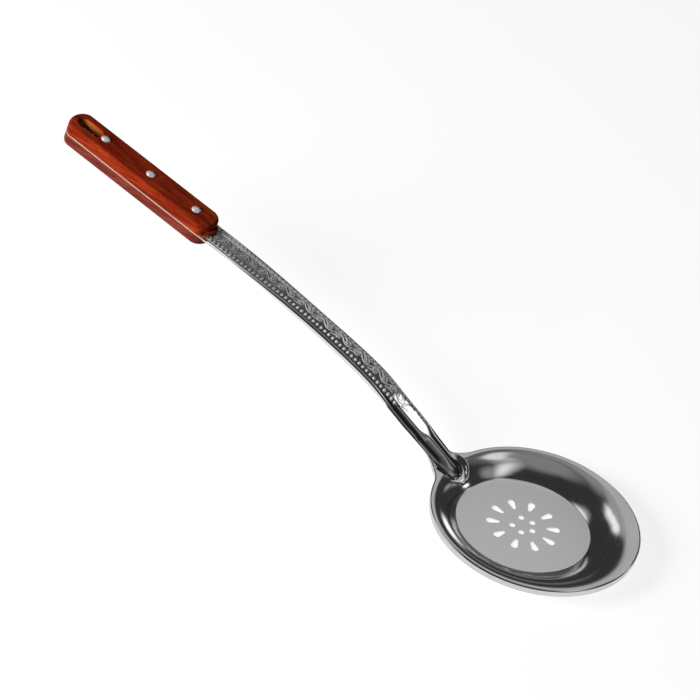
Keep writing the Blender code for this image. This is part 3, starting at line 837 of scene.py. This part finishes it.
def grid_normals(points):
    along = np.gradient(points, axis=0)
    across = np.gradient(points, axis=1)
    normals = np.cross(across, along)
    return normals / np.maximum(np.linalg.norm(normals, axis=2, keepdims=True), SMALLEST_LENGTH)


def sheet_mesh(name, upper, lower):
    """Close an upper grid of points and a lower one, which may be coarser across, into a sheet."""
    bm = bmesh.new()
    top = [[bm.verts.new(p) for p in row] for row in upper]
    under = [[bm.verts.new(p) for p in row] for row in lower]
    for near, far in zip(top, top[1:]):
        for i in range(len(near) - 1):
            bm.faces.new((near[i], near[i + 1], far[i + 1], far[i]))
    for near, far in zip(under, under[1:]):
        for i in range(len(near) - 1):
            bm.faces.new((near[i], far[i], far[i + 1], near[i + 1]))
    for a, b, c, d in zip(top, top[1:], under, under[1:]):
        bm.faces.new((a[0], b[0], d[0], c[0]))
        bm.faces.new((a[-1], c[-1], d[-1], b[-1]))
    bm.faces.new(list(reversed(top[0])) + under[0])
    bm.faces.new(top[-1] + list(reversed(under[-1])))
    return mesh_from(bm, name)


def make_shank():
    stations = shank_stations()
    shares = np.linspace(-1.0, 1.0, SHANK_ACROSS + 1)
    plain = grid_points(stations, shares)
    normals = grid_normals(plain)
    half_widths = np.array([strap_half_width(s) for s in stations])
    flat = half_widths - PRESSED_CORNER
    developed = flat + 0.5 * math.pi * PRESSED_CORNER + STRAP_DEPTH - PRESSED_CORNER
    across = developed[:, None] * shares[None, :]
    height, share, ground, painted_dark_reflection = relief(stations, across, half_widths)
    keep = np.linspace(0, SHANK_ACROSS, SHANK_UNDER_ACROSS + 1).round().astype(int)
    lower = plain[:, keep] - normals[:, keep] * SHANK_SHEET
    mesh = sheet_mesh("shank_embossed", plain + normals * height[:, :, None], lower)
    for name, values, below in (("relief", share, 1.0), ("painted_dark_reflection", painted_dark_reflection, 0.0), ("ground", ground, 0.0)):
        spread = np.full(len(mesh.vertices), below, dtype=np.float32)
        spread[:values.size] = values.ravel()
        set_shares(mesh, name, spread)
    weld(mesh)
    smooth(mesh)
    return link("shank_embossed", mesh)


def make_tang(holes):
    upper = grid_points(tang_stations(), np.linspace(-1.0, 1.0, TANG_ACROSS + 1))
    lower = upper - grid_normals(upper) * SHANK_SHEET
    tang = link("tang", sheet_mesh("tang", upper, lower))
    combine(tang, holes, "DIFFERENCE")
    bake_modifiers(tang)
    return tang


# Grip

def make_grip_frame():
    x, z, slope = shank_path(NOSE_STATION)
    along = Vector((-math.cos(slope), 0.0, math.sin(slope)))
    up = Vector((math.sin(slope), 0.0, math.cos(slope)))
    across = up.cross(along)
    turn = Matrix((along, across, up)).transposed()
    return Matrix.Translation((x, 0.0, z)) @ turn.to_4x4()


def scale_outline(inset):
    half = SCALE_WIDTH / 2.0 - inset
    nose = NOSE_LENGTH - inset
    butt = BUTT_LENGTH - inset
    quarter = quarter_angles(SCALE_END_STEPS)
    lower = [(NOSE_LENGTH - nose * math.cos(a), -half * math.sin(a)) for a in quarter]
    lower += [(SCALE_LENGTH - BUTT_LENGTH + butt * math.sin(a), -half * math.cos(a)) for a in quarter]
    upper = [(x, -y) for x, y in reversed(lower[1:-1])]
    return lower + upper


def toe_outline(inset):
    centre = NOSE_LENGTH - TOE_LENGTH
    half = TOE_HALF_WIDTH - inset
    front = []
    for i in range(TOE_STEPS + 1):
        a = math.pi * (0.5 + i / TOE_STEPS)
        front.append((centre + (NOSE_LENGTH - inset) * math.cos(a), half * math.sin(a)))
    return front + [(NOSE_LENGTH - inset, -half), (NOSE_LENGTH - inset, half)]


def rounded_prism(name, outline, height, rounding, segments):
    levels = [(outline(0.0), 0.0)]
    for a in quarter_angles(segments):
        inset = rounding * (1.0 - math.cos(a))
        levels.append((outline(inset), height - rounding * (1.0 - math.sin(a))))
    return stack(name, levels)


def hang_hole_tool(grip):
    """Cutter for the hanging hole, which opens out in a small round at both faces."""
    low = []
    high = []
    for i in range(MOUTH_STEPS + 1):
        a = MOUTH_SWEEP * i / MOUTH_STEPS
        flare = MOUTH_ROUNDING * (1.0 - math.cos(a))
        back = MOUTH_ROUNDING * (1.0 - math.sin(a))
        low.append((flare, LOWER_FACE + back))
        high.append((flare, UPPER_FACE - back))
    low.append((flare, LOWER_FACE - CUT_OVERRUN))
    high.append((flare, UPPER_FACE + CUT_OVERRUN))
    levels = []
    for flare, z in low[::-1] + high:
        length = HANG_HOLE_LENGTH + 2.0 * flare
        width = HANG_HOLE_WIDTH + 2.0 * flare
        levels.append((stadium_points(HANG_HOLE_CENTRE, length, width, HANG_HOLE_STEPS), z))
    tool = stack("grip_holes", levels)
    tool.matrix_world = grip
    return tool


def make_scales(grip, holes):
    above = grip @ Matrix.Translation((0.0, 0.0, SEAT_GAP))
    upper = rounded_prism("upper_scale_wood", scale_outline, UPPER_SCALE_THICKNESS,
                          UPPER_SCALE_ROUNDING, ROUNDING_SEGMENTS)
    settle(upper, above)
    toe = rounded_prism("toe", toe_outline, TOE_THICKNESS, TOE_ROUNDING, TOE_SEGMENTS)
    settle(toe, above)
    combine(upper, toe, "UNION")
    lower = rounded_prism("lower_scale_wood", scale_outline, LOWER_SCALE_THICKNESS,
                          LOWER_SCALE_ROUNDING, ROUNDING_SEGMENTS)
    flip = Matrix.Rotation(math.pi, 4, "X")
    settle(lower, grip @ Matrix.Translation((0.0, 0.0, -SHANK_SHEET - SEAT_GAP)) @ flip)
    for scale in (upper, lower):
        combine(scale, holes, "DIFFERENCE")
        bake_modifiers(scale)
        mark_bare_wood(scale, grip)
    drop_tool(toe)
    return upper, lower


def mark_bare_wood(scale, grip):
    """Mark the wall of the hanging hole, where the wood is left unstained."""
    to_grip = grip.inverted()
    radius = HANG_HOLE_WIDTH / 2.0
    reach = HANG_HOLE_LENGTH / 2.0 - radius
    marks = []
    for face in scale.data.polygons:
        place = to_grip @ face.center
        past = max(abs(place.x - HANG_HOLE_CENTRE) - reach, 0.0)
        marks.append(1.0 if math.hypot(past, place.y) < radius + BARE_WOOD_MARGIN else 0.0)
    set_shares(scale.data, "bare", marks, "FACE")


def rivet_profile():
    """Radius and height of a rivet's rings, from its upper head down to its lower one."""
    crown = (RIVET_HEAD_RADIUS ** 2 + RIVET_HEAD_HEIGHT ** 2) / (2.0 * RIVET_HEAD_HEIGHT)
    sweep = math.asin(RIVET_HEAD_RADIUS / crown)
    head = []
    for i in range(1, RIVET_HEAD_STEPS + 1):
        a = sweep * i / RIVET_HEAD_STEPS
        head.append((crown * math.sin(a), RIVET_HEAD_HEIGHT - crown * (1.0 - math.cos(a))))
    top = [(r, UPPER_FACE + SEAT_GAP + z) for r, z in head]
    return top + [(r, LOWER_FACE - SEAT_GAP - z) for r, z in reversed(head)]


def make_rivet(name, along, grip):
    rings = reversed(rivet_profile())
    rivet = stack(name, [(circle_points(along, 0.0, r, RIVET_STEPS), z) for r, z in rings])
    settle(rivet, grip)
    smooth(rivet.data)
    return rivet


# Finishes

def feed(tree, node, inputs):
    """Set a node's inputs to plain values, or link them to other nodes' outputs."""
    for key, value in inputs.items():
        if isinstance(value, bpy.types.NodeSocket):
            tree.links.new(value, node.inputs[key])
        else:
            node.inputs[key].default_value = value


def add_node(tree, kind, inputs, **settings):
    node = tree.nodes.new(kind)
    for key, value in settings.items():
        setattr(node, key, value)
    feed(tree, node, inputs)
    return node


def object_place(tree):
    return add_node(tree, "ShaderNodeTexCoord", {}).outputs["Object"]


def attribute(tree, name):
    return add_node(tree, "ShaderNodeAttribute", {}, attribute_name=name).outputs["Fac"]


def compute(tree, operation, *values, **settings):
    node = add_node(tree, "ShaderNodeMath", dict(enumerate(values)), operation=operation, **settings)
    return node.outputs["Value"]


def measure(tree, operation, *vectors):
    node = add_node(tree, "ShaderNodeVectorMath", dict(enumerate(vectors)), operation=operation)
    return node.outputs["Value"]


def noise(tree, place, scale=1.0, **inputs):
    return add_node(tree, "ShaderNodeTexNoise", {"Vector": place, "Scale": scale, **inputs}).outputs["Fac"]


def remap(tree, value, source=(0.0, 1.0), target=(0.0, 1.0)):
    names = ("From Min", "From Max", "To Min", "To Max")
    ends = dict(zip(names, source + target))
    return add_node(tree, "ShaderNodeMapRange", {"Value": value, **ends}).outputs["Result"]


def blend(tree, share, a, b, **settings):
    inputs = {"Factor": share, "A": a, "B": b}
    return add_node(tree, "ShaderNodeMix", inputs, **settings).outputs["Result"]


def colour_ramp(tree, value, stops):
    """Colour by a value between stops; a stop's colour is a grey where it is one number."""
    ramp = add_node(tree, "ShaderNodeValToRGB", {"Fac": value})
    elements = ramp.color_ramp.elements
    while len(elements) < len(stops):
        elements.new(0.5)
    for element, (place, colour) in zip(elements, stops):
        element.position = place
        element.color = (*colour, 1.0) if isinstance(colour, tuple) else (colour, colour, colour, 1.0)
    return ramp.outputs["Color"]


def bump(tree, height, strength, depth):
    inputs = {"Height": height, "Strength": strength, "Distance": depth}
    return add_node(tree, "ShaderNodeBump", inputs).outputs["Normal"]


def new_material(name):
    material = bpy.data.materials.new(name)
    material.use_nodes = True
    tree = material.node_tree
    return material, tree, tree.nodes["Principled BSDF"]


def bowl_steel():
    material, tree, shader = new_material("bowl_steel")
    place = add_node(tree, "ShaderNodeSeparateXYZ", {"Vector": object_place(tree)}).outputs
    flat = add_node(tree, "ShaderNodeCombineXYZ", {"X": place["X"], "Y": place["Y"]}).outputs["Vector"]
    radius = measure(tree, "LENGTH", flat)
    from_rim_centre = measure(tree, "DISTANCE", flat, (RIM_FORWARD, 0.0, 0.0))
    turns = compute(tree, "MULTIPLY", compute(tree, "ARCTAN2", place["Y"], place["X"]), STREAK_TURNS)
    rings = compute(tree, "MULTIPLY", radius, STREAK_RINGS)
    turned = add_node(tree, "ShaderNodeCombineXYZ", {"X": turns, "Y": rings}).outputs["Vector"]
    streak = noise(tree, turned, Detail=STREAK_DETAIL)
    satin_and_sheen_floor_tone = colour_ramp(tree, streak, SATIN_AND_SHEEN_FLOOR_TONES)
    wall_tone = colour_ramp(tree, streak, WALL_TONES)
    zone_roughness = remap(tree, radius, FLOOR_EDGE, FLOOR_TO_WALL_ROUGHNESS)
    streak_roughness = remap(tree, streak, STREAK_SPAN, STREAK_ROUGHNESS)
    strength = remap(tree, from_rim_centre, STREAK_END, (STREAK_STRENGTH, 0.0))
    feed(tree, shader, {
        "Metallic": 1.0,
        "Base Color": blend(tree, remap(tree, radius, FLOOR_EDGE), satin_and_sheen_floor_tone, wall_tone, data_type="RGBA"),
        "Roughness": compute(tree, "ADD", zone_roughness, streak_roughness),
        "Normal": bump(tree, streak, strength, STREAK_DEPTH),
    })
    return material


def shank_steel():
    material, tree, shader = new_material("shank_steel")
    # The relief attribute is the relief's brightness: polish with painted highlights and a painted
    # reflection along the far side
    height = attribute(tree, "relief")
    ground = attribute(tree, "ground")
    stipple = noise(tree, object_place(tree), STIPPLE_SCALE, Detail=STIPPLE_DETAIL)
    lowered = compute(tree, "SUBTRACT", height, STIPPLE_MIDDLE)
    spotted = compute(tree, "MULTIPLY_ADD", stipple, STIPPLE_CONTRAST, lowered)
    relief_tone = colour_ramp(tree, spotted, RELIEF_TONES)
    # Plain steel, darkened by the painted dark reflection on the finger and the near band
    plain_tone = colour_ramp(tree, attribute(tree, "painted_dark_reflection"), PLAIN_TONES)
    roughness = remap(tree, height, target=RELIEF_ROUGHNESS)
    strength = compute(tree, "MULTIPLY_ADD", ground, STIPPLE_STRENGTH, PLAIN_STRENGTH)
    feed(tree, shader, {
        "Base Color": blend(tree, ground, plain_tone, relief_tone, data_type="RGBA"),
        # Low metallic value where the relief is bright, so its near-white colour shows as a painted
        # highlight
        "Metallic": remap(tree, compute(tree, "MULTIPLY", height, ground), target=RELIEF_METALLIC),
        "Roughness": blend(tree, ground, PLAIN_ROUGHNESS, roughness, data_type="FLOAT"),
        "Normal": bump(tree, stipple, strength, STIPPLE_DEPTH),
    })
    return material


def grained_metal(name, metallic, scale, tones, roughness):
    material, tree, shader = new_material(name)
    grain = noise(tree, object_place(tree), scale)
    feed(tree, shader, {
        "Metallic": metallic,
        "Base Color": colour_ramp(tree, grain, tones),
        "Roughness": remap(tree, grain, target=roughness),
    })
    return material


def along_grip(tree, place, scale):
    inputs = {"Vector": place, "Rotation": (0.0, -GRIP_SLOPE, 0.0), "Scale": scale}
    return add_node(tree, "ShaderNodeMapping", inputs).outputs["Vector"]


def wood(name, tones):
    material, tree, shader = new_material(name)
    place = object_place(tree)
    grain = noise(tree, along_grip(tree, place, GRAIN_SCALE), Detail=GRAIN_DETAIL,
                  Roughness=GRAIN_ROUGHNESS, Distortion=GRAIN_DISTORTION)
    pores = noise(tree, along_grip(tree, place, PORE_SCALE), Detail=PORE_DETAIL)
    stained = blend(tree, 1.0, colour_ramp(tree, grain, tones), colour_ramp(tree, pores, PORE_TONES),
                    data_type="RGBA", blend_type="MULTIPLY")
    along = add_node(tree, "ShaderNodeSeparateXYZ", {"Vector": place}).outputs["X"]
    inside = remap(tree, along, BARE_WOOD_SPAN, BARE_WOOD_SHARES)
    bare = compute(tree, "MULTIPLY", attribute(tree, "bare"), inside)
    feed(tree, shader, {
        "Base Color": blend(tree, bare, stained, colour_ramp(tree, grain, BARE_WOOD), data_type="RGBA"),
        "Roughness": remap(tree, grain, target=WOOD_ROUGHNESS),
        "Specular IOR Level": WOOD_SPECULAR,
        "Normal": bump(tree, pores, PORE_STRENGTH, PORE_DEPTH),
    })
    return material


# Studio

def make_camera():
    a, e, r = CAMERA_AZIMUTH, CAMERA_ELEVATION, CAMERA_ROLL
    view = Vector((math.sin(a) * math.cos(e), -math.cos(a) * math.cos(e), math.sin(e)))
    right = Vector((math.cos(a), math.sin(a), 0.0))
    up = view.cross(right)
    picture_right = right * math.cos(r) + up * math.sin(r)
    picture_up = up * math.cos(r) - right * math.sin(r)
    middle = PICTURE_SIZE / 2.0
    across = (middle - ANCHOR_PIXEL[0]) * PIXEL
    rise = (ANCHOR_PIXEL[1] - middle) * PIXEL
    target = ANCHOR + picture_right * across + picture_up * rise
    place = ANCHOR + view * CAMERA_DISTANCE
    back = (place - target).normalized()
    side = picture_up.cross(back).normalized()
    top = back.cross(side)
    camera = bpy.data.cameras.new("camera")
    camera.sensor_width = SENSOR_WIDTH
    camera.lens = CAMERA_DISTANCE / PIXEL / PICTURE_SIZE * SENSOR_WIDTH
    camera.clip_end = CAMERA_REACH
    holder = link("camera", camera)
    holder.matrix_world = Matrix.Translation(place) @ Matrix((side, top, back)).transposed().to_4x4()
    bpy.context.scene.camera = holder


def studio_glow(directions):
    """Brightness of the dome over unit directions; where lamps overlap, the brighter one counts."""
    azimuth = np.degrees(np.arctan2(directions[:, 1], directions[:, 0]))
    elevation = np.degrees(np.arcsin(np.clip(directions[:, 2], -1.0, 1.0)))
    glow = np.full(len(directions), STUDIO_DARK)
    for centre_a, centre_e, half_a, half_e, blur, strength in STUDIO_LAMPS:
        turn = (azimuth - centre_a + 180.0) % 360.0 - 180.0
        side = turn * np.cos(np.radians(elevation)) / half_a
        rise = (elevation - centre_e) / half_e
        beyond = (np.hypot(side, rise) - 1.0) * min(half_a, half_e)
        glow = np.maximum(glow, strength * ease_all(0.5 - beyond / blur))
    return glow


def stage_material(piece):
    """Empty material on a piece of the stage."""
    material = bpy.data.materials.new(piece.name)
    material.use_nodes = True
    material.node_tree.nodes.clear()
    piece.data.materials.append(material)
    return material.node_tree


def make_dome():
    bm = bmesh.new()
    rings = []
    for i in range(STUDIO_RINGS + 1):
        e = mix(STUDIO_LOWEST, STUDIO_HIGHEST, i / STUDIO_RINGS)
        points = circle_points(0.0, 0.0, STUDIO_RADIUS * math.cos(e), STUDIO_STEPS)
        rings.append([bm.verts.new((x, y, STUDIO_RADIUS * math.sin(e))) for x, y in points])
    join_rings(bm, rings, inward=True)
    mesh = mesh_from(bm, "studio_dome")
    directions = np.array([v.co[:] for v in mesh.vertices]) / STUDIO_RADIUS
    set_shares(mesh, "glow", studio_glow(directions).astype(np.float32))
    dome = link("studio_dome", mesh)
    tree = stage_material(dome)
    light = add_node(tree, "ShaderNodeEmission", {"Strength": attribute(tree, "glow")})
    add_node(tree, "ShaderNodeOutputMaterial", {"Surface": light.outputs["Emission"]})
    dome.visible_camera = False
    dome.visible_diffuse = False
    dome.visible_shadow = False
    dome.visible_transmission = False


def background_ray(tree):
    """1 for rays that show the white background: to the camera, in gloss and through glass."""
    ray = add_node(tree, "ShaderNodeLightPath", {}).outputs
    seen = compute(tree, "ADD", ray["Is Camera Ray"], ray["Is Glossy Ray"])
    return compute(tree, "ADD", seen, ray["Is Transmission Ray"], use_clamp=True)


def make_floor():
    bm = bmesh.new()
    half = TABLE_HALF_SIZE
    corners = [(-half, -half), (half, -half), (half, half), (-half, half)]
    bm.faces.new([bm.verts.new((x, y, 0.0)) for x, y in corners])
    floor = link("floor", mesh_from(bm, "floor"))
    tree = stage_material(floor)
    matte = add_node(tree, "ShaderNodeBsdfDiffuse", {"Color": TABLE_COLOUR})
    strength = compute(tree, "MULTIPLY", background_ray(tree), TABLE_GLOW)
    glow = add_node(tree, "ShaderNodeEmission", {"Strength": strength})
    total = add_node(tree, "ShaderNodeAddShader", {0: matte.outputs["BSDF"], 1: glow.outputs["Emission"]})
    add_node(tree, "ShaderNodeOutputMaterial", {"Surface": total.outputs["Shader"]})


def make_world():
    world = bpy.data.worlds.new("studio")
    bpy.context.scene.world = world
    world.use_nodes = True
    tree = world.node_tree
    strength = remap(tree, background_ray(tree), target=WORLD_STRENGTH)
    feed(tree, tree.nodes["Background"], {"Strength": strength})


def make_key():
    light = bpy.data.lights.new("key", "AREA")
    light.shape = "RECTANGLE"
    light.size, light.size_y = KEY_SIZE
    light.energy = KEY_ENERGY
    holder = link("key", light)
    holder.visible_glossy = False
    holder.location = KEY_PLACE
    holder.rotation_euler = (KEY_AIM - KEY_PLACE).to_track_quat("-Z", "Y").to_euler()


def main():
    grip = make_grip_frame()
    holes = hang_hole_tool(grip)
    bowl = make_bowl()
    shank = make_shank()
    tang = make_tang(holes)
    upper, lower = make_scales(grip, holes)
    drop_tool(holes)
    names = ("rivet_front", "rivet_middle", "rivet_rear")
    rivets = []
    for i, name in enumerate(names):
        rivets.append(make_rivet(f"{name}_head", FRONT_RIVET_FROM_NOSE + RIVET_PITCH * i, grip))
    steel, strap = bowl_steel(), shank_steel()
    edge = grained_metal("tang_steel", TANG_METALLIC, TANG_GRAIN, TANG_PAINTED_REFLECTION_TONES, TANG_ROUGHNESS)
    metal = grained_metal("rivet_metal", RIVET_METALLIC, RIVET_GRAIN, RIVET_TONES, RIVET_ROUGHNESS)
    upper_wood, lower_wood = wood("wood_upper", UPPER_WOOD), wood("wood_lower_and_sheen", LOWER_WOOD_AND_SHEEN)
    plan = [(bowl, steel, "bowl_steel", "bowl"), (shank, strap, "shank_steel", "shank"),
            (tang, edge, "shank_steel", None), (upper, upper_wood, "wood", "upper_scale"),
            (lower, lower_wood, "wood", "lower_scale")]
    plan += [(rivet, metal, "rivet", name) for rivet, name in zip(rivets, names)]
    for piece, finish, slot, node in plan:
        piece.data.materials.clear()
        piece.data.materials.append(finish)
        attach(piece, "root")
        if node:
            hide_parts(node)
    make_camera()
    make_dome()
    make_floor()
    make_world()
    make_key()
    bpy.context.scene.view_settings.view_transform = "Standard"


main()
